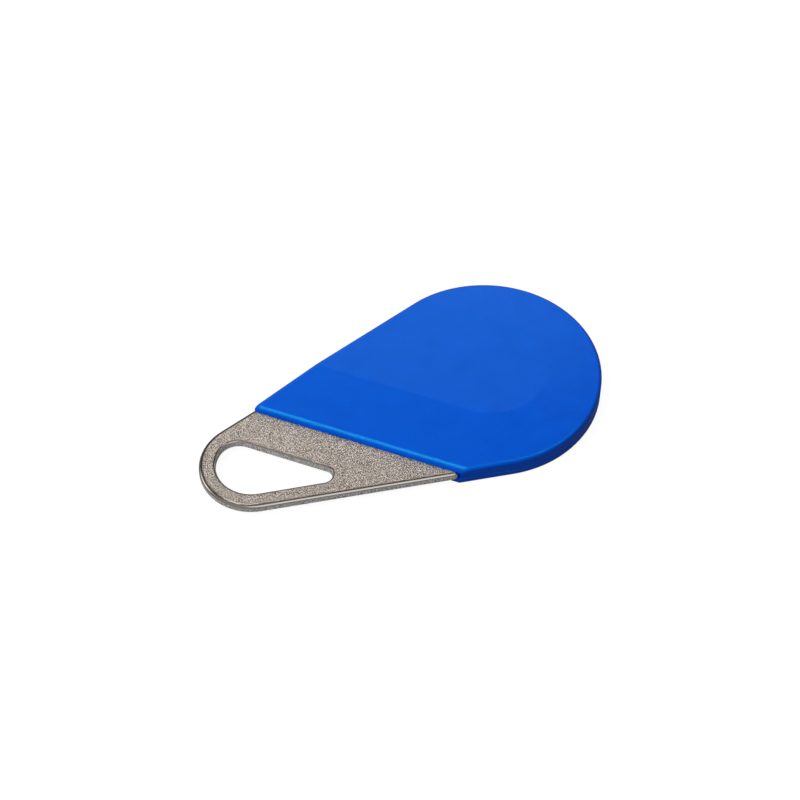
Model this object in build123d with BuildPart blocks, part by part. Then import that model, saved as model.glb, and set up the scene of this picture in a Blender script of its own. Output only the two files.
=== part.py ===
from build123d import *
import math
import os

os.makedirs("parts", exist_ok=True)

# A tracker tag for a key ring. A teardrop housing holds the electronics, and a steel key plate
# carries the teardrop on to its tip, where it has an eye for the ring.
# Millimetres. The origin lies on the rest face under the centre of the round head,
# with +X towards the head, -X towards the eye and +Z up.

# Outline: a large head circle and a small tip circle joined by their common tangents.
HEAD_RADIUS = 17.5
TIP_RADIUS = 8.15
TIP_DISTANCE = 39.2

# The covers end at an oblique front edge. "Ahead" is measured square to that edge, from the
# head's centre towards the head, and "along" is measured parallel to it.
SLANT = -46.0
FRONT = -19.2
FAR = 60.0

# Covers
PARTING = 1.3
BODY_HEIGHT = 4.2
WALL = 1.3
TOP_WALL = 0.8
FLOOR = 0.8
TOP_EDGE_RADIUS = 0.6
FRONT_EDGE_RADIUS = 1.4
PARTING_CHAMFER = 0.1
BOTTOM_EDGE_RADIUS = 0.5
CAVITY_FRONT = -13.2
CAVITY_CORNER_RADIUS = 1.0

# Thumb plateau: a flat U that opens to the far side, with flanks that fall away all round it.
PLATEAU_RADIUS = 9.2
PLATEAU_AHEAD = 0.7
FLANK_FALL = 2.0
FRONT_FLANK_RUN = 20.0
REAR_FLANK_RUN = 60.0

# Key plate
PLATE_BOTTOM = 0.95
PLATE_THICKNESS = 1.5
PLATE_TOP = PLATE_BOTTOM + PLATE_THICKNESS
PLATE_INSET = 0.15
PLATE_TOP_RADIUS = 0.7
PLATE_BOTTOM_RADIUS = 0.35
SHOULDER_REACH = 1.2
SHOULDER_END = -12.1
SHOULDER_CLEARANCE = 0.2
SHOULDER_RADIUS = 0.6
TONGUE_INSET = 1.6
TONGUE_END = -13.5
SLOT_CLEARANCE = 0.05
POST_RADIUS = 1.0
POST_CLEARANCE = 0.1
POST_REACH = 0.3
POSTS_AHEAD = -16.3
POSTS_ALONG = (-24.0, -6.0)

# Key eye: an arc round the tip, a near side parallel to the outline, which runs on to a small
# guide circle, and a front side parallel to the covers' front edge
EYE_INSET = 2.65
EYE_GUIDE = (-18.5, -9.6)
EYE_GUIDE_RADIUS = 1.0
EYE_FRONT = -24.85
EYE_NEAR_CORNER_RADIUS = 1.45
EYE_FAR_CORNER_RADIUS = 3.1
EYE_EDGE_RADIUS = 0.4

# Seal bead between the covers
BEAD_OUTER_INSET = 0.4
BEAD_INNER_INSET = 0.9
BEAD_DEPTH = 0.2
BEAD_FRONT = -17.5

# Circuit board
BOARD_BOTTOM = 1.6
BOARD_THICKNESS = 0.6
BOARD_TOP = BOARD_BOTTOM + BOARD_THICKNESS
BOARD_INSET = 1.7
BOARD_FRONT = -12.7
BOARD_HEAD_END = -1.0
BOARD_NOTCH_RADIUS = 11.0
STAKES = ((-3.5, 12.5), (-23.5, 8.8), (-14.0, -2.4), (-3.0, -11.0))
RADIO = (-15.5, 4.2)
MAIN_CRYSTAL = (-14.5, 8.0)
CLOCK_CRYSTAL = (-18.6, 5.6)
ANTENNA = (-20.2, 9.4)
ANTENNA_TURN = 13.8
INDUCTOR = (-10.5, -2.6)
CAPACITORS = (-11.9, 2.9)
RESISTORS = (-7.3, -7.2)
TEST_PADS = (-9.6, 12.0)
STAKE_POST_RADIUS = 1.2
STAKE_PIN_RADIUS = 0.5
STAKE_HEAD_RADIUS = 0.9
STAKE_HEAD_HEIGHT = 0.3
STAKE_CLEARANCE = 0.1
CHIP_SIZE = 4.0
CHIP_HEIGHT = 0.75
CHIP_CHAMFER = 0.08
MAIN_CRYSTAL_SIZE = (2.5, 2.0)
CLOCK_CRYSTAL_SIZE = (1.2, 2.0)
CRYSTAL_BASE = 0.2
CRYSTAL_LID = 0.3
CRYSTAL_RIM = 0.15
CRYSTAL_CORNER = 0.2
ANTENNA_SIZE = (3.2, 1.6)
ANTENNA_HEIGHT = 0.6
ANTENNA_CHAMFER = 0.1
INDUCTOR_SIZE = 3.0
INDUCTOR_FLANGE = 0.15
INDUCTOR_DRUM_RADIUS = 1.0
INDUCTOR_LID = 0.2
INDUCTOR_CORNER = 0.5
WINDING_RADIUS = 1.4
WINDING_HEIGHT = 0.5
SMALL_CHIP = (1.0, 0.5)
SMALL_CHIP_PITCH = (1.5, 0.9)
SMALL_CHIP_COLUMNS = 2
CAPACITOR_ROWS = 4
CAPACITOR_HEIGHT = 0.5
RESISTOR_ROWS = 3
RESISTOR_HEIGHT = 0.35
PAD_RADIUS = 0.5
PAD_PITCH = 1.6
PAD_COUNT = 4
PAD_THICKNESS = 0.05

# Coin cell, 20 mm across and 1.6 mm thick, lying with its cap down
CELL = (5.0, 0.0)
CELL_RADIUS = 10.0
CELL_BOTTOM = 1.05
CELL_TOP = 2.65
CELL_SHEET = 0.25
CELL_STAND_OFF = 0.1
CAP_RADIUS = 8.5
CAP_RIM_TOP = 1.9
CRIMP_RADIUS = 8.9
CRIMP_THICKNESS = 0.2
CAN_EDGE_RADIUS = 0.2
GASKET_TOP = 2.0
ANODE_TOP = 1.6
SEPARATOR_TOP = 1.7
PELLET_RADIUS = 8.2
CRADLE_INNER_RADIUS = 10.2
CRADLE_OUTER_RADIUS = 10.9
CRADLE_TOP = 1.5
CRADLE_GAP = 5.0
FILM_RADIUS = 9.8
FILM_THICKNESS = 0.1
TAB_THICKNESS = 0.15
TAB_WIDTH = 4.0
TAB_INNER_END = 7.0
TAB_BEND_TOP = -5.7
TAB_BEND_BOTTOM = -6.6
TAB_OUTER_END = -8.4
TAB_SIDE = 3.0
FOAM_RADIUS = 5.0

# Sounder, bonded to the floor over a shallow resonance pocket
SOUNDER = (-12.5, 5.8)
SOUNDER_RADIUS = 7.0
SOUNDER_RING_INNER_RADIUS = 5.8
SOUNDER_POCKET_RADIUS = 5.6
SOUNDER_POCKET_DEPTH = 0.3
SOUNDER_GLUE = 0.1
BRASS_THICKNESS = 0.15
CERAMIC_RADIUS = 4.8
CERAMIC_THICKNESS = 0.15
CONTACT_THICKNESS = 0.1
CONTACT_WIDTH = 0.8
CONTACT_FOOT = 1.2
CONTACT_DROP = 0.8
CONTACT_TIP = 0.3
DISC_CONTACT_HEEL = 6.6
CERAMIC_CONTACT_HEEL = 4.0
CERAMIC_CONTACT_SIDE = 2.0

# Press button under the plateau
BUTTON_ALONG = -12.0
DOME_RADIUS = 3.0
DOME_HEIGHT = 0.3
DOME_SHEET = 0.07
TAPE_RADIUS = 3.5
TAPE_SHEET = 0.05
ACTUATOR_RADIUS = 3.5
ACTUATOR_BOTTOM = 2.95
ACTUATOR_TOP = 3.38
NUB_RADIUS = 1.2
NUB_BOTTOM = 2.57
NUB_EDGE_RADIUS = 0.15
ACTUATOR_CHAMFER = 0.08
GUIDE_INNER_RADIUS = 3.65
GUIDE_OUTER_RADIUS = 4.4
GUIDE_BOTTOM = 2.75


def slanted_point(along, ahead):
    """The point at these distances along and ahead of the front edge's own axes."""
    turn = math.radians(SLANT)
    x = along * math.cos(turn) - ahead * math.sin(turn)
    y = along * math.sin(turn) + ahead * math.cos(turn)
    return (x, y)


AHEAD = Axis((0, 0, 0), (*slanted_point(0, 1), 0))
BUTTON = slanted_point(BUTTON_ALONG, PLATEAU_AHEAD)
TONGUE_POSTS = [slanted_point(along, POSTS_AHEAD) for along in POSTS_ALONG]


def teardrop(inset):
    """The tag's outline, moved inwards by the inset."""
    Circle(HEAD_RADIUS - inset)
    with Locations((-TIP_DISTANCE, 0)):
        Circle(TIP_RADIUS - inset)
    make_hull()


def keep_band(low, high):
    """Keep what lies between two lines parallel to the front edge."""
    with Locations(slanted_point(0, (low + high) / 2)):
        Rectangle(2 * FAR, high - low, rotation=SLANT, mode=Mode.INTERSECT)


def thumb_outline(radius, ahead):
    """A U about the line that runs from the head towards the far side."""
    with Locations(slanted_point(0, ahead)):
        Circle(radius)
    with Locations(slanted_point(-FAR / 2, ahead)):
        Rectangle(FAR, 2 * radius, rotation=SLANT)


def crown(top):
    """The space under the plateau and its flanks, with the plateau at this height."""
    wide_radius = PLATEAU_RADIUS + (FRONT_FLANK_RUN + REAR_FLANK_RUN) / 2
    wide_ahead = PLATEAU_AHEAD + (REAR_FLANK_RUN - FRONT_FLANK_RUN) / 2
    with BuildPart() as space:
        with BuildSketch(Plane.XY.offset(top - FLANK_FALL)):
            thumb_outline(wide_radius, wide_ahead)
        with BuildSketch(Plane.XY.offset(top)):
            thumb_outline(PLATEAU_RADIUS, PLATEAU_AHEAD)
        loft(ruled=True)
        with BuildSketch(Plane.XY):
            thumb_outline(wide_radius, wide_ahead)
        extrude(amount=top - FLANK_FALL)
    return space.part


def cover_outline():
    """The outline of both covers."""
    teardrop(0)
    keep_band(FRONT, FAR)


def cavity_outline():
    """The inside of the side walls and of the front wall."""
    teardrop(WALL)
    keep_band(CAVITY_FRONT, FAR)


def shoulder_outline(inset, clearance):
    """The key plate's full width, which ends at shoulders just behind the covers' front edge."""
    teardrop(inset)
    keep_band(FRONT - FAR, FRONT + SHOULDER_REACH + clearance)
    with Locations((SHOULDER_END + clearance - FAR / 2, 0)):
        Rectangle(FAR, FAR, mode=Mode.INTERSECT)


def tongue_slot():
    """The pocket in the front wall that the plate's tongue fills."""
    teardrop(TONGUE_INSET - POST_CLEARANCE)
    keep_band(FRONT - WALL, CAVITY_FRONT + POST_CLEARANCE)


def rim_edges(cover):
    """The high edges of a cover's upright faces."""
    uprights = [face for face in cover.faces() if abs(face.normal_at().Z) < 0.01]
    edges = ShapeList(edge for face in uprights for edge in face.edges())
    return edges.filter_by(lambda edge: edge.bounding_box().min.Z > PARTING + TOP_EDGE_RADIUS)


def bent_strip(points, thickness, width, middle):
    """Sheet bent in the XZ plane along a centre line, and extruded to its width."""
    with BuildSketch(Plane.XZ.offset(-middle)) as section:
        with BuildLine():
            Polyline(*points)
        trace(line_width=thickness)
    extrude(section.sketch, amount=width / 2, both=True)


def disc(centre, radius, bottom, top, hole=0):
    """A flat disc, or a ring if it has a hole, between two heights."""
    with BuildSketch(Plane.XY.offset(bottom)) as face:
        with Locations(centre):
            Circle(radius)
            if hole:
                Circle(hole, mode=Mode.SUBTRACT)
    extrude(face.sketch, amount=top - bottom)


def save(piece, name):
    piece.part.label = name
    export_step(piece.part, "parts/" + name + ".step")


# Covers ---------------------------------------------------------------------------------------

with BuildPart() as cavity:
    with BuildSketch(Plane.XY.offset(FLOOR)):
        cavity_outline()
    extrude(amount=BODY_HEIGHT)
    fillet(cavity.edges().filter_by(Axis.Z).group_by(AHEAD)[0], CAVITY_CORNER_RADIUS)
    add(crown(BODY_HEIGHT - TOP_WALL), mode=Mode.INTERSECT)

with BuildPart() as seal_bead:
    with BuildSketch(Plane.XY.offset(PARTING - BEAD_DEPTH)):
        teardrop(BEAD_OUTER_INSET)
        keep_band(BEAD_FRONT, FAR)
    extrude(amount=BEAD_DEPTH)
    with BuildSketch(Plane.XY.offset(PARTING - BEAD_DEPTH)):
        teardrop(BEAD_INNER_INSET)
    extrude(amount=BEAD_DEPTH, mode=Mode.SUBTRACT)

with BuildPart() as bottom_cover:
    with BuildSketch(Plane.XY):
        cover_outline()
    extrude(amount=PARTING)
    fillet(bottom_cover.edges().filter_by(Axis.Z).group_by(AHEAD)[0], TOP_EDGE_RADIUS)
    fillet(bottom_cover.edges().group_by(Axis.Z)[0], BOTTOM_EDGE_RADIUS)
    chamfer(bottom_cover.edges().group_by(Axis.Z)[-1], PARTING_CHAMFER)
    add(cavity.part, mode=Mode.SUBTRACT)
    with BuildSketch(Plane.XY.offset(PLATE_BOTTOM)):
        tongue_slot()
    extrude(amount=PARTING, mode=Mode.SUBTRACT)
    with BuildSketch(Plane.XY.offset(PLATE_BOTTOM)):
        shoulder_outline(-WALL, SHOULDER_CLEARANCE)
    extrude(amount=PARTING, mode=Mode.SUBTRACT)
    add(seal_bead.part, mode=Mode.SUBTRACT)
    # posts that locate the key plate
    with BuildSketch(Plane.XY.offset(FLOOR)):
        with Locations(*TONGUE_POSTS):
            Circle(POST_RADIUS)
    extrude(amount=PLATE_TOP + POST_REACH - FLOOR)
    # posts, pins and staked heads that hold the board
    with BuildSketch(Plane.XY.offset(FLOOR)):
        with Locations(*STAKES):
            Circle(STAKE_POST_RADIUS)
    extrude(amount=BOARD_BOTTOM - FLOOR)
    with BuildSketch(Plane.XY.offset(BOARD_BOTTOM)):
        with Locations(*STAKES):
            Circle(STAKE_PIN_RADIUS)
    extrude(amount=BOARD_THICKNESS)
    with BuildSketch(Plane.XY.offset(BOARD_TOP)):
        with Locations(*STAKES):
            Circle(STAKE_HEAD_RADIUS)
    extrude(amount=STAKE_HEAD_HEIGHT)
    # cradle round the coin cell, with a gap for the negative tab
    with BuildSketch(Plane.XY.offset(FLOOR)):
        with Locations(CELL):
            Circle(CRADLE_OUTER_RADIUS)
            Circle(CRADLE_INNER_RADIUS, mode=Mode.SUBTRACT)
        with Locations((CELL[0] - CRADLE_OUTER_RADIUS, -TAB_SIDE)):
            Rectangle(CELL_RADIUS, CRADLE_GAP, mode=Mode.SUBTRACT)
    extrude(amount=CRADLE_TOP - FLOOR)
    # resonance pocket under the sounder
    with BuildSketch(Plane.XY.offset(FLOOR)):
        with Locations(SOUNDER):
            Circle(SOUNDER_POCKET_RADIUS)
    extrude(amount=-SOUNDER_POCKET_DEPTH, mode=Mode.SUBTRACT)

with BuildPart() as top_cover:
    with BuildSketch(Plane.XY.offset(PARTING)):
        cover_outline()
    extrude(amount=BODY_HEIGHT)
    add(crown(BODY_HEIGHT), mode=Mode.INTERSECT)
    fillet(rim_edges(top_cover).group_by(AHEAD)[0], FRONT_EDGE_RADIUS)
    fillet(rim_edges(top_cover), TOP_EDGE_RADIUS)
    chamfer(top_cover.edges().group_by(Axis.Z)[0], PARTING_CHAMFER)
    add(cavity.part, mode=Mode.SUBTRACT)
    with BuildSketch(Plane.XY.offset(PARTING)):
        tongue_slot()
    extrude(amount=PLATE_TOP + SLOT_CLEARANCE - PARTING, mode=Mode.SUBTRACT)
    with BuildSketch(Plane.XY.offset(PARTING)):
        shoulder_outline(-WALL, SHOULDER_CLEARANCE)
    extrude(amount=PLATE_TOP + SLOT_CLEARANCE - PARTING, mode=Mode.SUBTRACT)
    with BuildSketch(Plane.XY.offset(PLATE_TOP)):
        with Locations(*TONGUE_POSTS):
            Circle(POST_RADIUS + POST_CLEARANCE)
    extrude(amount=POST_REACH + SLOT_CLEARANCE, mode=Mode.SUBTRACT)
    # guide ring for the button's actuator
    with BuildSketch(Plane.XY.offset(GUIDE_BOTTOM)):
        with Locations(BUTTON):
            Circle(GUIDE_OUTER_RADIUS)
            Circle(GUIDE_INNER_RADIUS, mode=Mode.SUBTRACT)
    extrude(amount=BODY_HEIGHT - TOP_WALL + SLOT_CLEARANCE - GUIDE_BOTTOM)

# Key plate ------------------------------------------------------------------------------------

with BuildPart() as key_plate:
    with BuildSketch(Plane.XY.offset(PLATE_BOTTOM)) as blank:
        shoulder_outline(PLATE_INSET, 0)
        fillet(blank.vertices().sort_by(Axis.Y)[0], SHOULDER_RADIUS)
        fillet(blank.vertices().sort_by(Axis.Y)[-1], SHOULDER_RADIUS)
    extrude(amount=PLATE_THICKNESS)
    with BuildSketch(Plane.XY.offset(PLATE_BOTTOM)) as eye:
        with Locations((-TIP_DISTANCE, 0)):
            Circle(TIP_RADIUS - EYE_INSET)
        with Locations(EYE_GUIDE):
            Circle(EYE_GUIDE_RADIUS)
        make_hull()
        keep_band(FRONT - FAR, EYE_FRONT)
        fillet(eye.vertices().group_by(AHEAD)[-1].sort_by(Axis.Y)[0], EYE_NEAR_CORNER_RADIUS)
        fillet(eye.vertices().group_by(AHEAD)[-1].sort_by(Axis.Y)[-1], EYE_FAR_CORNER_RADIUS)
    extrude(amount=PLATE_THICKNESS, mode=Mode.SUBTRACT)
    fillet(key_plate.faces().sort_by(Axis.Z)[-1].outer_wire().edges(), PLATE_TOP_RADIUS)
    fillet(key_plate.faces().sort_by(Axis.Z)[-1].inner_wires().edges(), EYE_EDGE_RADIUS)
    fillet(key_plate.edges().group_by(Axis.Z)[0], PLATE_BOTTOM_RADIUS)
    with BuildSketch(Plane.XY.offset(PLATE_BOTTOM)):
        teardrop(TONGUE_INSET)
        keep_band(FRONT - WALL, TONGUE_END)
    extrude(amount=PLATE_THICKNESS)
    with BuildSketch(Plane.XY.offset(PLATE_BOTTOM)):
        with Locations(*TONGUE_POSTS):
            Circle(POST_RADIUS + POST_CLEARANCE)
    extrude(amount=PLATE_THICKNESS, mode=Mode.SUBTRACT)

# Circuit board and what is soldered to it ------------------------------------------------------

with BuildPart() as circuit_board:
    with BuildSketch(Plane.XY.offset(BOARD_BOTTOM)):
        teardrop(BOARD_INSET)
        keep_band(BOARD_FRONT, FAR)
        with Locations((BOARD_HEAD_END - FAR / 2, 0)):
            Rectangle(FAR, FAR, mode=Mode.INTERSECT)
        with Locations(CELL):
            Circle(BOARD_NOTCH_RADIUS, mode=Mode.SUBTRACT)
        with Locations(*STAKES):
            Circle(STAKE_PIN_RADIUS + STAKE_CLEARANCE, mode=Mode.SUBTRACT)
    extrude(amount=BOARD_THICKNESS)

with BuildPart() as radio_chip:
    with BuildSketch(Plane.XY.offset(BOARD_TOP)):
        with Locations(RADIO):
            Rectangle(CHIP_SIZE, CHIP_SIZE)
    extrude(amount=CHIP_HEIGHT)
    chamfer(radio_chip.edges().group_by(Axis.Z)[-1], CHIP_CHAMFER)


def crystal(centre, length, width):
    """A ceramic base with a smaller, rounded metal lid."""
    with BuildSketch(Plane.XY.offset(BOARD_TOP)) as base:
        with Locations(centre):
            Rectangle(length, width)
    extrude(base.sketch, amount=CRYSTAL_BASE)
    with BuildSketch(Plane.XY.offset(BOARD_TOP + CRYSTAL_BASE)) as lid:
        with Locations(centre):
            RectangleRounded(length - 2 * CRYSTAL_RIM, width - 2 * CRYSTAL_RIM, CRYSTAL_CORNER)
    extrude(lid.sketch, amount=CRYSTAL_LID)


with BuildPart() as main_crystal:
    crystal(MAIN_CRYSTAL, *MAIN_CRYSTAL_SIZE)

with BuildPart() as clock_crystal:
    crystal(CLOCK_CRYSTAL, *CLOCK_CRYSTAL_SIZE)

with BuildPart() as chip_antenna:
    with BuildSketch(Plane.XY.offset(BOARD_TOP)):
        with Locations(ANTENNA):
            Rectangle(*ANTENNA_SIZE, rotation=ANTENNA_TURN)
    extrude(amount=ANTENNA_HEIGHT)
    chamfer(chip_antenna.edges().filter_by(Axis.Z), ANTENNA_CHAMFER)

WINDING_BOTTOM = BOARD_TOP + INDUCTOR_FLANGE
WINDING_TOP = WINDING_BOTTOM + WINDING_HEIGHT

with BuildPart() as sounder_inductor:
    with BuildSketch(Plane.XY.offset(BOARD_TOP)):
        with Locations(INDUCTOR):
            Rectangle(INDUCTOR_SIZE, INDUCTOR_SIZE)
    extrude(amount=INDUCTOR_FLANGE)
    disc(INDUCTOR, INDUCTOR_DRUM_RADIUS, WINDING_BOTTOM, WINDING_TOP)
    with BuildSketch(Plane.XY.offset(WINDING_TOP)):
        with Locations(INDUCTOR):
            RectangleRounded(INDUCTOR_SIZE, INDUCTOR_SIZE, INDUCTOR_CORNER)
    extrude(amount=INDUCTOR_LID)

with BuildPart() as inductor_winding:
    disc(INDUCTOR, WINDING_RADIUS, WINDING_BOTTOM, WINDING_TOP, hole=INDUCTOR_DRUM_RADIUS)


def small_chips(centre, rows, height):
    """Rows of two-terminal chips on the board."""
    with BuildSketch(Plane.XY.offset(BOARD_TOP)) as bodies:
        with Locations(centre):
            with GridLocations(*SMALL_CHIP_PITCH, SMALL_CHIP_COLUMNS, rows):
                Rectangle(*SMALL_CHIP)
    extrude(bodies.sketch, amount=height)


with BuildPart() as chip_capacitors:
    small_chips(CAPACITORS, CAPACITOR_ROWS, CAPACITOR_HEIGHT)

with BuildPart() as chip_resistors:
    small_chips(RESISTORS, RESISTOR_ROWS, RESISTOR_HEIGHT)

with BuildPart() as test_pads:
    with BuildSketch(Plane.XY.offset(BOARD_BOTTOM - PAD_THICKNESS)):
        with Locations(TEST_PADS):
            with GridLocations(PAD_PITCH, 0, PAD_COUNT, 1):
                Circle(PAD_RADIUS)
    extrude(amount=PAD_THICKNESS)

# Coin cell and its tabs ------------------------------------------------------------------------

CRIMP_BOTTOM = CELL_BOTTOM + CELL_STAND_OFF
CRIMP_TOP = CRIMP_BOTTOM + CRIMP_THICKNESS
CAP_TOP = CELL_BOTTOM + CELL_SHEET
ROOF = CELL_TOP - CELL_SHEET

with BuildPart() as cell_can:
    disc(CELL, CELL_RADIUS, ROOF, CELL_TOP)
    disc(CELL, CELL_RADIUS, CRIMP_TOP, ROOF, hole=CELL_RADIUS - CELL_SHEET)
    disc(CELL, CELL_RADIUS, CRIMP_BOTTOM, CRIMP_TOP, hole=CRIMP_RADIUS)
    fillet(cell_can.edges().group_by(Axis.Z)[-1], CAN_EDGE_RADIUS)

with BuildPart() as cell_cap:
    disc(CELL, CAP_RADIUS, CELL_BOTTOM, CAP_TOP)
    disc(CELL, CAP_RADIUS, CAP_TOP, CAP_RIM_TOP, hole=CAP_RADIUS - CELL_SHEET)

with BuildPart() as cell_gasket:
    disc(CELL, CRIMP_RADIUS, CRIMP_BOTTOM, CRIMP_TOP, hole=CAP_RADIUS)
    disc(CELL, CELL_RADIUS - CELL_SHEET, CRIMP_TOP, GASKET_TOP, hole=CAP_RADIUS)

with BuildPart() as cell_anode:
    disc(CELL, PELLET_RADIUS, CAP_TOP, ANODE_TOP)

with BuildPart() as cell_separator:
    disc(CELL, PELLET_RADIUS, ANODE_TOP, SEPARATOR_TOP)

with BuildPart() as cell_cathode:
    disc(CELL, PELLET_RADIUS, SEPARATOR_TOP, ROOF)

with BuildPart() as insulating_film:
    disc(CELL, FILM_RADIUS, FLOOR, FLOOR + FILM_THICKNESS)

with BuildPart() as negative_tab:
    low = CELL_BOTTOM - TAB_THICKNESS / 2
    high = BOARD_BOTTOM - TAB_THICKNESS / 2
    route = [
        (TAB_INNER_END, low),
        (TAB_BEND_TOP, low),
        (TAB_BEND_BOTTOM, high),
        (TAB_OUTER_END, high),
    ]
    bent_strip(route, TAB_THICKNESS, TAB_WIDTH, -TAB_SIDE)

with BuildPart() as positive_tab:
    high = CELL_TOP + TAB_THICKNESS / 2
    low = BOARD_TOP + TAB_THICKNESS / 2
    route = [
        (TAB_INNER_END, high),
        (TAB_BEND_TOP, high),
        (TAB_BEND_BOTTOM, low),
        (TAB_OUTER_END, low),
    ]
    bent_strip(route, TAB_THICKNESS, TAB_WIDTH, TAB_SIDE)

with BuildPart() as foam_pad:
    disc(CELL, FOAM_RADIUS, CELL_TOP + TAB_THICKNESS, BODY_HEIGHT - TOP_WALL)

# Sounder ---------------------------------------------------------------------------------------

BRASS_BOTTOM = FLOOR + SOUNDER_GLUE
BRASS_TOP = BRASS_BOTTOM + BRASS_THICKNESS
CERAMIC_TOP = BRASS_TOP + CERAMIC_THICKNESS

with BuildPart() as sounder_adhesive:
    disc(SOUNDER, SOUNDER_RADIUS, FLOOR, BRASS_BOTTOM, hole=SOUNDER_RING_INNER_RADIUS)

with BuildPart() as sounder_disc:
    disc(SOUNDER, SOUNDER_RADIUS, BRASS_BOTTOM, BRASS_TOP)

with BuildPart() as sounder_ceramic:
    disc(SOUNDER, CERAMIC_RADIUS, BRASS_TOP, CERAMIC_TOP)


def contact(heel, landing):
    """The route of a sounder contact: a foot under the board and a finger that reaches down."""
    foot = BOARD_BOTTOM - CONTACT_THICKNESS / 2
    touch = landing + CONTACT_THICKNESS / 2
    return [
        (heel + CONTACT_FOOT, foot),
        (heel, foot),
        (heel - CONTACT_DROP, touch),
        (heel - CONTACT_DROP - CONTACT_TIP, touch),
    ]


with BuildPart() as disc_contact:
    route = contact(SOUNDER[0] + DISC_CONTACT_HEEL, BRASS_TOP)
    bent_strip(route, CONTACT_THICKNESS, CONTACT_WIDTH, SOUNDER[1])

with BuildPart() as ceramic_contact:
    route = contact(SOUNDER[0] + CERAMIC_CONTACT_HEEL, CERAMIC_TOP)
    bent_strip(route, CONTACT_THICKNESS, CONTACT_WIDTH, SOUNDER[1] - CERAMIC_CONTACT_SIDE)

# Button ----------------------------------------------------------------------------------------

DOME_SPHERE = (DOME_RADIUS**2 + DOME_HEIGHT**2) / (2 * DOME_HEIGHT)
DOME_PLANE = Plane(origin=(*BUTTON, BOARD_TOP), x_dir=(1, 0, 0), z_dir=(0, -1, 0))
DOME_AXIS = Axis((*BUTTON, BOARD_TOP), (0, 0, 1))


def pressed_sheet(outer, inner, rim_radius):
    """Half the section of a shallow domed sheet on the board, with a flat rim round it."""
    height = DOME_HEIGHT + TAPE_SHEET
    with BuildSketch(DOME_PLANE) as section:
        with Locations((0, DOME_HEIGHT - DOME_SPHERE)):
            Circle(outer)
        with Locations((DOME_RADIUS / 2 + TAPE_SHEET, height / 2)):
            Rectangle(DOME_RADIUS + 2 * TAPE_SHEET, height, mode=Mode.INTERSECT)
        with Locations((rim_radius / 2, TAPE_SHEET / 2)):
            Rectangle(rim_radius, TAPE_SHEET)
        with Locations((0, DOME_HEIGHT - DOME_SPHERE)):
            Circle(inner, mode=Mode.SUBTRACT)
    return section.sketch


with BuildPart() as snap_dome:
    revolve(pressed_sheet(DOME_SPHERE, DOME_SPHERE - DOME_SHEET, DOME_SHEET), DOME_AXIS)

with BuildPart() as dome_tape:
    revolve(pressed_sheet(DOME_SPHERE + TAPE_SHEET, DOME_SPHERE, TAPE_RADIUS), DOME_AXIS)

with BuildPart() as button_actuator:
    disc(BUTTON, NUB_RADIUS, NUB_BOTTOM, ACTUATOR_BOTTOM)
    disc(BUTTON, ACTUATOR_RADIUS, ACTUATOR_BOTTOM, ACTUATOR_TOP)
    fillet(button_actuator.edges().group_by(Axis.Z)[0], NUB_EDGE_RADIUS)
    chamfer(button_actuator.edges().group_by(Axis.Z)[-1], ACTUATOR_CHAMFER)

for piece, name in (
    (bottom_cover, "bottom_cover"),
    (top_cover, "top_cover"),
    (key_plate, "key_plate"),
    (seal_bead, "seal_bead"),
    (circuit_board, "circuit_board"),
    (radio_chip, "radio_chip"),
    (main_crystal, "main_crystal"),
    (clock_crystal, "clock_crystal"),
    (chip_antenna, "chip_antenna"),
    (sounder_inductor, "sounder_inductor"),
    (inductor_winding, "inductor_winding"),
    (chip_capacitors, "chip_capacitors"),
    (chip_resistors, "chip_resistors"),
    (test_pads, "test_pads"),
    (cell_can, "cell_can"),
    (cell_cap, "cell_cap"),
    (cell_gasket, "cell_gasket"),
    (cell_anode, "cell_anode"),
    (cell_separator, "cell_separator"),
    (cell_cathode, "cell_cathode"),
    (insulating_film, "insulating_film"),
    (negative_tab, "negative_tab"),
    (positive_tab, "positive_tab"),
    (foam_pad, "foam_pad"),
    (sounder_adhesive, "sounder_adhesive"),
    (sounder_disc, "sounder_disc"),
    (sounder_ceramic, "sounder_ceramic"),
    (disc_contact, "disc_contact"),
    (ceramic_contact, "ceramic_contact"),
    (snap_dome, "snap_dome"),
    (dome_tape, "dome_tape"),
    (button_actuator, "button_actuator"),
):
    save(piece, name)
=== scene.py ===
import math
from functools import partial

import bpy
from mathutils import Matrix, Vector


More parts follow.
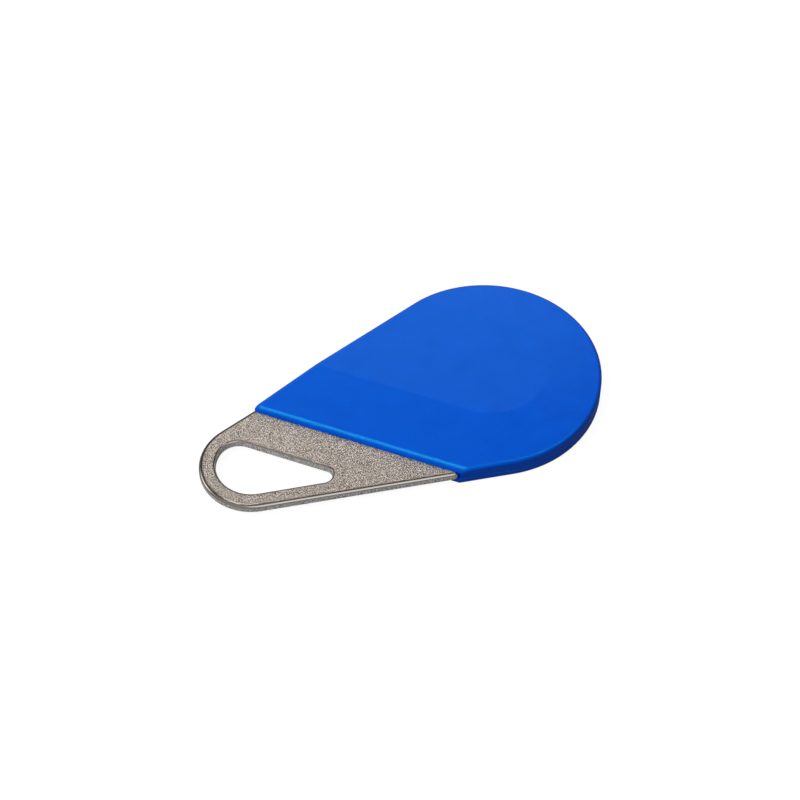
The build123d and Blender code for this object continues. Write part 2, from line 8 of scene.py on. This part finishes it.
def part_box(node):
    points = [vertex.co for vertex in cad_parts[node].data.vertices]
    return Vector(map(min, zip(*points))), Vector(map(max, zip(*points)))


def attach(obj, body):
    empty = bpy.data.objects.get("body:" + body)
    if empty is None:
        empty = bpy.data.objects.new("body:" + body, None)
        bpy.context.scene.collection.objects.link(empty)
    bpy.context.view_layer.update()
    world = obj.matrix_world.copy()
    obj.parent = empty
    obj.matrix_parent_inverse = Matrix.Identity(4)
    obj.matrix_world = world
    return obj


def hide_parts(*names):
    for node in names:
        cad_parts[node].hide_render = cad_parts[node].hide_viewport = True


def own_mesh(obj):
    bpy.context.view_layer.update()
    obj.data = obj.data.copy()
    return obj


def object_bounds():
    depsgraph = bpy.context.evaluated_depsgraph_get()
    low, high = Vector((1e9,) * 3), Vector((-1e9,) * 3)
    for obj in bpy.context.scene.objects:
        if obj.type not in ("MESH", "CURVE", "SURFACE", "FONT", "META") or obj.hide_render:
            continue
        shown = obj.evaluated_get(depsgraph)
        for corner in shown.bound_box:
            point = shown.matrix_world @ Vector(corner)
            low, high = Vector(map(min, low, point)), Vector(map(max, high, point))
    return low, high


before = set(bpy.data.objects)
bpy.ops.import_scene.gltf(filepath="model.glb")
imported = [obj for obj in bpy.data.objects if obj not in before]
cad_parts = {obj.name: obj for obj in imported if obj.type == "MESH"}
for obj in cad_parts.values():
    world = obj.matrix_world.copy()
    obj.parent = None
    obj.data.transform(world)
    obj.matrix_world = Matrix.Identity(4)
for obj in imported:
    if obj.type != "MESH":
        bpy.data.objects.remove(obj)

CAD_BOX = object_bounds()

# The round head's radius sets the scale of the view, the lights and the floor.
COVER_LOW, COVER_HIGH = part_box("top_cover")
HEAD = (COVER_HIGH[1] - COVER_LOW[1]) / 2


# Material helpers -------------------------------------------------------------------------------


def new_material(name):
    """A node material, its node tree and its Principled shader."""
    material = bpy.data.materials.new(name)
    material.use_nodes = True
    tree = material.node_tree
    return material, tree, tree.nodes["Principled BSDF"]


def srgb(red, green, blue):
    """A display colour in 0 to 255 as the linear colour that the shader takes."""
    linear = []
    for value in (red, green, blue):
        value = value / 255
        linear.append(value / 12.92 if value <= 0.04045 else ((value + 0.055) / 1.055) ** 2.4)
    return (*linear, 1.0)


def noise(tree, scale, detail=4.0, roughness=0.6, stretch=(1, 1, 1)):
    """Object-space noise: scale is in features per metre, and stretch multiplies it by axis."""
    coordinates = tree.nodes.new("ShaderNodeTexCoord")
    mapping = tree.nodes.new("ShaderNodeMapping")
    mapping.inputs["Scale"].default_value = stretch
    texture = tree.nodes.new("ShaderNodeTexNoise")
    texture.inputs["Scale"].default_value = scale
    texture.inputs["Detail"].default_value = detail
    texture.inputs["Roughness"].default_value = roughness
    tree.links.new(coordinates.outputs["Object"], mapping.inputs["Vector"])
    tree.links.new(mapping.outputs["Vector"], texture.inputs["Vector"])
    return texture.outputs["Fac"]


def cells(tree, scale):
    """Object-space cells, dark at their centres: scale is in cells per metre."""
    coordinates = tree.nodes.new("ShaderNodeTexCoord")
    texture = tree.nodes.new("ShaderNodeTexVoronoi")
    texture.inputs["Scale"].default_value = scale
    tree.links.new(coordinates.outputs["Object"], texture.inputs["Vector"])
    return texture.outputs["Distance"]


def waves(tree, scale, axis, distortion=0.0):
    """Object-space stripes across an axis, 3.2 of them per metre for each unit of scale."""
    coordinates = tree.nodes.new("ShaderNodeTexCoord")
    texture = tree.nodes.new("ShaderNodeTexWave")
    texture.bands_direction = axis
    texture.inputs["Scale"].default_value = scale
    texture.inputs["Distortion"].default_value = distortion
    tree.links.new(coordinates.outputs["Object"], texture.inputs["Vector"])
    return texture.outputs["Fac"]


def upward(tree):
    """How far the surface faces up or down: 1 on the flat faces and 0 on the walls."""
    coordinates = tree.nodes.new("ShaderNodeTexCoord")
    split = tree.nodes.new("ShaderNodeSeparateXYZ")
    size = tree.nodes.new("ShaderNodeMath")
    size.operation = "ABSOLUTE"
    tree.links.new(coordinates.outputs["Normal"], split.inputs["Vector"])
    tree.links.new(split.outputs["Z"], size.inputs[0])
    return size.outputs["Value"]


def ramp(tree, source, stops):
    """A colour ramp over the source, from a list of (place, colour)."""
    node = tree.nodes.new("ShaderNodeValToRGB")
    elements = node.color_ramp.elements
    while len(elements) > 1:
        elements.remove(elements[0])
    elements[0].position = stops[0][0]
    elements[0].color = stops[0][1]
    for place, colour in stops[1:]:
        elements.new(place).color = colour
    tree.links.new(source, node.inputs["Fac"])
    return node.outputs["Color"]


def grey(value):
    """A neutral colour, or a plain value where a ramp gives a number."""
    return (value, value, value, 1.0)


def fade(tree, source, start, end, low=0.0):
    """A mask that rises from low to 1 as the source goes from start to end."""
    return ramp(tree, source, [(start, grey(low)), (end, grey(1))])


def span(tree, source, low, high):
    """The source, from 0 to 1, spread between two values."""
    node = tree.nodes.new("ShaderNodeMapRange")
    node.inputs["To Min"].default_value = low
    node.inputs["To Max"].default_value = high
    tree.links.new(source, node.inputs["Value"])
    return node.outputs["Result"]


def blend(tree, mask, first, second):
    """The first colour where the mask is 0, and the second where it is 1."""
    node = tree.nodes.new("ShaderNodeMix")
    node.data_type = "RGBA"
    tree.links.new(mask, node.inputs["Factor"])
    tree.links.new(first, node.inputs["A"])
    tree.links.new(second, node.inputs["B"])
    return node.outputs["Result"]


def times(tree, first, second):
    """The product of two values."""
    node = tree.nodes.new("ShaderNodeMath")
    node.operation = "MULTIPLY"
    tree.links.new(first, node.inputs[0])
    tree.links.new(second, node.inputs[1])
    return node.outputs["Value"]


def bump(tree, shader, source, height):
    """A bump of this height in metres on the shader's normal."""
    node = tree.nodes.new("ShaderNodeBump")
    node.inputs["Strength"].default_value = 1.0
    node.inputs["Distance"].default_value = height
    tree.links.new(source, node.inputs["Height"])
    tree.links.new(node.outputs["Normal"], shader.inputs["Normal"])


# Materials --------------------------------------------------------------------------------------

# In the makers, grain is in features per metre, depth is the bump's height in metres, and gloss is
# the lowest and highest roughness.


def moulded(name, colour, shade, grain, depth, gloss):
    """Moulded plastic or resin, with a fine eroded skin and a slight mottling of its colour."""
    material, tree, shader = new_material(name)
    mottle = noise(tree, 260.0, detail=3.0, roughness=0.5)
    tree.links.new(ramp(tree, mottle, [(0.3, shade), (0.7, colour)]), shader.inputs["Base Color"])
    skin = noise(tree, grain, detail=5.0, roughness=0.7)
    tree.links.new(span(tree, skin, gloss[0], gloss[1]), shader.inputs["Roughness"])
    bump(tree, shader, skin, depth)
    return material


def sheet_metal(name, light, dark, stretch, gloss, grain=2600.0, depth=0.000004):
    """Rolled, drawn or plated metal, whose grain the stretch may draw out along one axis."""
    material, tree, shader = new_material(name)
    shader.inputs["Metallic"].default_value = 1.0
    lines = noise(tree, grain, detail=4.0, roughness=0.6, stretch=stretch)
    stain = noise(tree, 300.0, detail=3.0, roughness=0.55)
    tree.links.new(ramp(tree, lines, [(0.3, dark), (0.7, light)]), shader.inputs["Base Color"])
    tree.links.new(span(tree, stain, gloss[0], gloss[1]), shader.inputs["Roughness"])
    bump(tree, shader, lines, depth)
    return material


def blue_plastic():
    """The covers: satin plastic with a spark-eroded skin, which reflects little red head-on."""
    material = moulded("blue_cover_plastic", srgb(1, 76, 205), srgb(1, 71, 197), grain=5000.0,
                       depth=0.000035, gloss=(0.22, 0.36))
    shader = material.node_tree.nodes["Principled BSDF"]
    shader.inputs["Specular IOR Level"].default_value = 0.42
    shader.inputs["Specular Tint"].default_value = (0.05, 0.95, 0.9, 1.0)
    return material


# The key plate's steel, by how far its surface faces up or down: walls are below the first range,
# faces are above the second, and the rolled edge is between them.
WALL_TO_EDGE = (0.1, 0.35)
EDGE_TO_FACE = (0.985, 0.9995)
# The rolled edge's colours are painted light: a highlight, a dark reflection and shade by the
# face.
EDGE_PAINTED_HIGHLIGHT = srgb(250, 244, 236)
EDGE_PAINTED_DARK_BAND = srgb(98, 90, 84)
EDGE_INNER_PAINTED_SHADE = srgb(118, 109, 101)
WALL_METALLIC = 0.2
PIT_DEPTH = 0.00005


def tumbled_steel():
    """Stamped stainless sheet, tumbled: pitted faces, a rolled edge and pale, dull walls.

    The edge's light line and dark band are partly painted highlight and shade in its base colour.
    """
    material, tree, shader = new_material("tumbled_key_steel")
    facing = upward(tree)
    pits = noise(tree, 7000.0, detail=3.0, roughness=0.9)
    shear = noise(tree, 6200.0, detail=3.0, roughness=0.85, stretch=(1, 1, 0.7))
    cloud = noise(tree, 200.0, detail=2.0, roughness=0.4)

    face = ramp(tree, pits, [(0.435, srgb(38, 33, 30)), (0.5, srgb(110, 100, 91)),
                             (0.565, srgb(255, 243, 231))])
    wall = ramp(tree, shear, [(0.45, srgb(116, 110, 104)), (0.52, srgb(255, 252, 248))])
    # Painted light on the rolled edge: a painted highlight, a painted dark band, painted shade.
    edge = ramp(tree, facing, [(0.3, EDGE_PAINTED_HIGHLIGHT), (0.72, EDGE_PAINTED_HIGHLIGHT), (0.84, EDGE_PAINTED_DARK_BAND),
                               (0.985, EDGE_INNER_PAINTED_SHADE)])
    rolled = blend(tree, fade(tree, facing, *WALL_TO_EDGE), wall, edge)
    colour = blend(tree, fade(tree, facing, *EDGE_TO_FACE), rolled, face)
    tree.links.new(colour, shader.inputs["Base Color"])

    bare = fade(tree, facing, *WALL_TO_EDGE, low=WALL_METALLIC)
    tree.links.new(bare, shader.inputs["Metallic"])
    rubbed = ramp(tree, facing, [(0.2, grey(0.4)), (0.45, grey(0.2)), (0.96, grey(0.2)),
                                 (0.998, grey(0.36))])
    tree.links.new(times(tree, rubbed, span(tree, cloud, 0.85, 1.15)), shader.inputs["Roughness"])
    bump(tree, shader, times(tree, pits, fade(tree, facing, 0.9, 0.995)), PIT_DEPTH)
    return material


def solder_mask():
    """Green mask over the board's copper: a glass weave shows faintly through it."""
    material, tree, shader = new_material("board_solder_mask")
    weave = waves(tree, 900.0, "X", distortion=1.5)
    fill = waves(tree, 900.0, "Y", distortion=1.5)
    copper = noise(tree, 420.0, detail=1.0, roughness=0.3)
    under = ramp(tree, copper, [(0.48, srgb(8, 62, 40)), (0.52, srgb(18, 88, 54))])
    over = ramp(tree, weave, [(0.2, srgb(6, 54, 36)), (0.8, srgb(14, 78, 50))])
    mask = span(tree, fill, 0.3, 0.7)
    tree.links.new(blend(tree, mask, under, over), shader.inputs["Base Color"])
    tree.links.new(span(tree, weave, 0.22, 0.32), shader.inputs["Roughness"])
    bump(tree, shader, copper, 0.00001)
    shader.inputs["Coat Weight"].default_value = 0.3
    return material


def foam():
    """Closed-cell foam, in cells of about 0.3 mm."""
    material, tree, shader = new_material("foam_cells")
    pores = cells(tree, 3300.0)
    colours = [(0.1, srgb(18, 18, 20)), (0.7, srgb(52, 52, 56))]
    tree.links.new(ramp(tree, pores, colours), shader.inputs["Base Color"])
    tree.links.new(span(tree, pores, 0.95, 0.8), shader.inputs["Roughness"])
    bump(tree, shader, pores, 0.00008)
    return material


def powder(name, light, dark):
    """A pellet pressed from powder, with fine grains and pores."""
    material, tree, shader = new_material(name)
    grains = cells(tree, 9000.0)
    tree.links.new(ramp(tree, grains, [(0.1, dark), (0.8, light)]), shader.inputs["Base Color"])
    tree.links.new(span(tree, grains, 0.9, 0.7), shader.inputs["Roughness"])
    bump(tree, shader, grains, 0.00002)
    return material


def fibre(name, light, dark):
    """Thin fibre sheet, with fibres that cross at random."""
    material, tree, shader = new_material(name)
    along = noise(tree, 5000.0, detail=3.0, roughness=0.6, stretch=(0.15, 1, 1))
    across = noise(tree, 5000.0, detail=3.0, roughness=0.6, stretch=(1, 0.15, 1))
    first = ramp(tree, along, [(0.35, dark), (0.65, light)])
    second = ramp(tree, across, [(0.35, dark), (0.65, light)])
    mask = span(tree, noise(tree, 1500.0), 0.2, 0.8)
    tree.links.new(blend(tree, mask, first, second), shader.inputs["Base Color"])
    tree.links.new(span(tree, along, 0.85, 0.95), shader.inputs["Roughness"])
    bump(tree, shader, across, 0.00002)
    return material


def film(name, light, dark):
    """Clear-coated film with a few faint streaks from its rolling."""
    material, tree, shader = new_material(name)
    streaks = noise(tree, 1200.0, detail=3.0, roughness=0.6, stretch=(0.1, 1, 1))
    tree.links.new(ramp(tree, streaks, [(0.3, dark), (0.7, light)]), shader.inputs["Base Color"])
    tree.links.new(span(tree, streaks, 0.18, 0.3), shader.inputs["Roughness"])
    bump(tree, shader, streaks, 0.000003)
    shader.inputs["Coat Weight"].default_value = 0.5
    return material


def winding():
    """Enamelled copper wire, wound in turns 0.12 mm apart."""
    material, tree, shader = new_material("winding_copper")
    shader.inputs["Metallic"].default_value = 1.0
    turns = waves(tree, 2650.0, "Z")
    colours = [(0.1, srgb(92, 38, 18)), (0.6, srgb(205, 112, 62))]
    tree.links.new(ramp(tree, turns, colours), shader.inputs["Base Color"])
    tree.links.new(span(tree, turns, 0.45, 0.25), shader.inputs["Roughness"])
    bump(tree, shader, turns, 0.00002)
    return material


chip_resin = partial(moulded, "chip_resin", srgb(30, 30, 33), srgb(22, 22, 24),
                     7000.0, 0.00002, (0.45, 0.65))
sealant = partial(moulded, "seal_bead_sealant", srgb(34, 36, 42), srgb(24, 25, 30),
                  1800.0, 0.00003, (0.3, 0.5))
actuator_plastic = partial(moulded, "actuator_plastic", srgb(38, 38, 42), srgb(30, 30, 33),
                           4200.0, 0.00001, (0.35, 0.5))
gasket_plastic = partial(moulded, "gasket_nylon", srgb(226, 223, 214), srgb(208, 204, 194),
                         2400.0, 0.00001, (0.4, 0.55))
antenna_ceramic = partial(moulded, "antenna_ceramic", srgb(228, 222, 206), srgb(206, 198, 180),
                          6000.0, 0.00001, (0.5, 0.7))
capacitor_ceramic = partial(moulded, "capacitor_ceramic", srgb(168, 138, 98), srgb(146, 116, 78),
                            8000.0, 0.00001, (0.35, 0.55))
resistor_glaze = partial(moulded, "resistor_glaze", srgb(28, 28, 31), srgb(18, 18, 20),
                         6000.0, 0.000005, (0.15, 0.3))
ferrite = partial(moulded, "ferrite_core", srgb(62, 62, 66), srgb(40, 40, 44),
                  9000.0, 0.00002, (0.55, 0.75))
adhesive = partial(fibre, "adhesive_ring", srgb(236, 234, 226), srgb(214, 211, 200))
separator = partial(fibre, "cell_separator_fibre", srgb(244, 242, 236), srgb(222, 219, 210))
cathode = partial(powder, "cathode_powder", srgb(44, 44, 46), srgb(12, 12, 13))
polyimide = partial(film, "polyimide_film", srgb(206, 142, 46), srgb(176, 112, 28))
crystal_lid = partial(sheet_metal, "crystal_lid_plate", srgb(222, 212, 180), srgb(184, 174, 146),
                      (0.1, 1, 1), (0.22, 0.34))
gold_flash = partial(sheet_metal, "gold_flash", srgb(232, 190, 98), srgb(204, 158, 70),
                     (1, 1, 1), (0.2, 0.35))
cell_nickel = partial(sheet_metal, "cell_nickel_plate", srgb(226, 225, 220), srgb(190, 189, 184),
                      (1, 0.08, 1), (0.16, 0.3))
lithium = partial(sheet_metal, "lithium_foil", srgb(206, 206, 212), srgb(150, 150, 158),
                  (0.2, 1, 1), (0.35, 0.55))
tab_nickel = partial(sheet_metal, "tab_nickel_strip", srgb(214, 208, 196), srgb(176, 170, 158),
                     (0.06, 1, 1), (0.25, 0.4))
sounder_brass = partial(sheet_metal, "sounder_brass", srgb(222, 184, 104), srgb(184, 144, 70),
                        (0.08, 1, 1), (0.22, 0.38))
silvering = partial(sheet_metal, "sounder_silvering", srgb(226, 224, 218), srgb(186, 182, 172),
                    (1, 1, 1), (0.4, 0.6), grain=6000.0)
spring_steel = partial(sheet_metal, "spring_steel", srgb(206, 206, 206), srgb(160, 160, 162),
                       (0.08, 1, 1), (0.2, 0.32))


# Camera -----------------------------------------------------------------------------------------

VIEW_AZIMUTH = math.radians(-115.94)
VIEW_ELEVATION = math.radians(51.62)
VIEW_ROLL = 0.0093  # radians
VIEW_DISTANCE = 20.37 * HEAD
VIEW_LENS = 104.5  # millimetres
VIEW_CLIP = (0.01, 10.0)  # metres
VIEW_TARGET = Vector((-0.759 * HEAD, 0.184 * HEAD, 0.0))


def direction(azimuth, elevation):
    """The unit vector towards an azimuth and elevation in radians."""
    return Vector(
        (
            math.cos(elevation) * math.cos(azimuth),
            math.cos(elevation) * math.sin(azimuth),
            math.sin(elevation),
        )
    )


def add_camera():
    """A camera that looks at the target from the view's direction."""
    data = bpy.data.cameras.new("camera")
    data.lens = VIEW_LENS
    data.clip_start, data.clip_end = VIEW_CLIP
    camera = bpy.data.objects.new("camera", data)
    bpy.context.collection.objects.link(camera)
    towards = direction(VIEW_AZIMUTH, VIEW_ELEVATION)
    turn = (-towards).to_track_quat("-Z", "Y").to_matrix().to_4x4()
    place = Matrix.Translation(VIEW_TARGET + VIEW_DISTANCE * towards)
    camera.matrix_world = place @ turn @ Matrix.Rotation(VIEW_ROLL, 4, "Z")
    bpy.context.scene.camera = camera


# Floor and light --------------------------------------------------------------------------------

SHEET_REACH = 60 * HEAD
# How far the floor and the card lie under the tag, in metres.
FLOOR_GAP = 0.00005
CARD_GAP = 0.00015


def direction_degrees(azimuth, elevation):
    """The unit vector towards an azimuth and elevation in degrees."""
    return direction(math.radians(azimuth), math.radians(elevation))


def add_sheet(name, height, colour, glow):
    """A wide level sheet with its own even glow, which is part of the studio."""
    mesh = bpy.data.meshes.new(name)
    signs = [(-1, -1), (1, -1), (1, 1), (-1, 1)]
    corners = [(x * SHEET_REACH, y * SHEET_REACH, 0) for x, y in signs]
    mesh.from_pydata(corners, [], [(0, 1, 2, 3)])
    sheet = bpy.data.objects.new(name, mesh)
    bpy.context.collection.objects.link(sheet)
    sheet.location.z = height
    material, _, shader = new_material(name)
    shader.inputs["Base Color"].default_value = grey(colour)
    shader.inputs["Roughness"].default_value = 0.9
    shader.inputs["Specular IOR Level"].default_value = 0.1
    shader.inputs["Emission Color"].default_value = (1, 1, 1, 1)
    shader.inputs["Emission Strength"].default_value = glow
    mesh.materials.append(material)
    return sheet


def add_floor():
    """A pale floor that doesn't light or show in the tag, over a grey card that does both.

    The camera sees the floor and not the card.
    """
    under = CAD_BOX[0][2]
    floor = add_sheet("pale_floor", under - FLOOR_GAP, colour=0.1, glow=0.94)
    floor.visible_diffuse = False
    floor.visible_glossy = False
    card = add_sheet("grey_card", under - CARD_GAP, colour=0.0, glow=0.1)
    card.visible_camera = False


def add_sun(name, azimuth, elevation, spread, strength, diffuse=True, glossy=True):
    """An even light from one direction, as soft as its spread, with its angles in degrees.

    With glossy off it lights only diffusely, and with diffuse off it shows only in gloss.
    """
    data = bpy.data.lights.new(name, "SUN")
    data.angle = math.radians(spread)
    data.energy = strength
    light = bpy.data.objects.new(name, data)
    bpy.context.collection.objects.link(light)
    towards = direction_degrees(azimuth, elevation)
    light.matrix_world = (-towards).to_track_quat("-Z", "Y").to_matrix().to_4x4()
    light.visible_diffuse = diffuse
    light.visible_glossy = glossy


def add_panel(name, azimuth, elevation, width, height, distance, radiance):
    """A soft box that faces the tag, at an azimuth and elevation in degrees.

    Its sizes and distance are in head radii, and its radiance is what a mirror in the tag shows.
    """
    data = bpy.data.lights.new(name, "AREA")
    data.shape = "RECTANGLE"
    data.size = width * HEAD
    data.size_y = height * HEAD
    data.energy = radiance * math.pi * data.size * data.size_y
    light = bpy.data.objects.new(name, data)
    bpy.context.collection.objects.link(light)
    towards = direction_degrees(azimuth, elevation)
    turn = towards.to_track_quat("Z", "Y").to_matrix().to_4x4()
    middle = Vector((-HEAD, 0, 0))
    light.matrix_world = Matrix.Translation(middle + distance * HEAD * towards) @ turn


def add_lights():
    """Soft studio light: a main sun, a fill and a backdrop, and suns seen only as gloss."""
    world = bpy.data.worlds.new("studio")
    bpy.context.scene.world = world
    world.use_nodes = True
    background = world.node_tree.nodes["Background"]
    background.inputs["Color"].default_value = (1, 1, 1, 1)
    background.inputs["Strength"].default_value = 0.2
    add_sun("main", azimuth=172, elevation=56, spread=40, strength=2.2, glossy=False)
    add_panel("backdrop", azimuth=76, elevation=37, width=12, height=7.2, distance=10,
              radiance=1.25)
    add_sun("top_left", azimuth=180, elevation=72, spread=18, strength=1.9, diffuse=False)
    add_sun("top_right", azimuth=-27, elevation=62, spread=16, strength=0.8, diffuse=False)
    add_sun("front", azimuth=-95, elevation=37, spread=50, strength=0.26, diffuse=False)
    add_sun("left", azimuth=145, elevation=16, spread=36, strength=0.22, diffuse=False)
    add_sun("fill", azimuth=-104, elevation=35, spread=50, strength=0.52, glossy=False)


# Dress the CAD nodes ----------------------------------------------------------------------------

DRESS = {
    "top_cover": blue_plastic,
    "bottom_cover": blue_plastic,
    "key_plate": tumbled_steel,
    "seal_bead": sealant,
    "circuit_board": solder_mask,
    "radio_chip": chip_resin,
    "main_crystal": crystal_lid,
    "clock_crystal": crystal_lid,
    "chip_antenna": antenna_ceramic,
    "sounder_inductor": ferrite,
    "inductor_winding": winding,
    "chip_capacitors": capacitor_ceramic,
    "chip_resistors": resistor_glaze,
    "test_pads": gold_flash,
    "cell_can": cell_nickel,
    "cell_cap": cell_nickel,
    "cell_gasket": gasket_plastic,
    "cell_anode": lithium,
    "cell_separator": separator,
    "cell_cathode": cathode,
    "insulating_film": polyimide,
    "negative_tab": tab_nickel,
    "positive_tab": tab_nickel,
    "foam_pad": foam,
    "sounder_adhesive": adhesive,
    "sounder_disc": sounder_brass,
    "sounder_ceramic": silvering,
    "disc_contact": spring_steel,
    "ceramic_contact": spring_steel,
    "snap_dome": spring_steel,
    "dome_tape": polyimide,
    "button_actuator": actuator_plastic,
}


def dress():
    """Gives each CAD node its material, made once for all the nodes that share it."""
    made = {}
    for node, maker in DRESS.items():
        if maker not in made:
            made[maker] = maker()
        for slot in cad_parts[node].material_slots:
            slot.material = made[maker]


# Button dome and its tape, copied onto the tag body ---------------------------------------------


def add_sprung(node):
    """A copy of a thin CAD node, attached to the tag body in place of the node, which is hidden.
    """
    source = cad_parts[node]
    piece = bpy.data.objects.new(node + "_sprung", source.data.copy())
    bpy.context.collection.objects.link(piece)
    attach(piece, "tag")
    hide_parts(node)
    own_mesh(piece)


add_camera()
add_floor()
add_lights()
dress()
add_sprung("snap_dome")
add_sprung("dome_tape")
bpy.context.scene.view_settings.view_transform = "Standard"
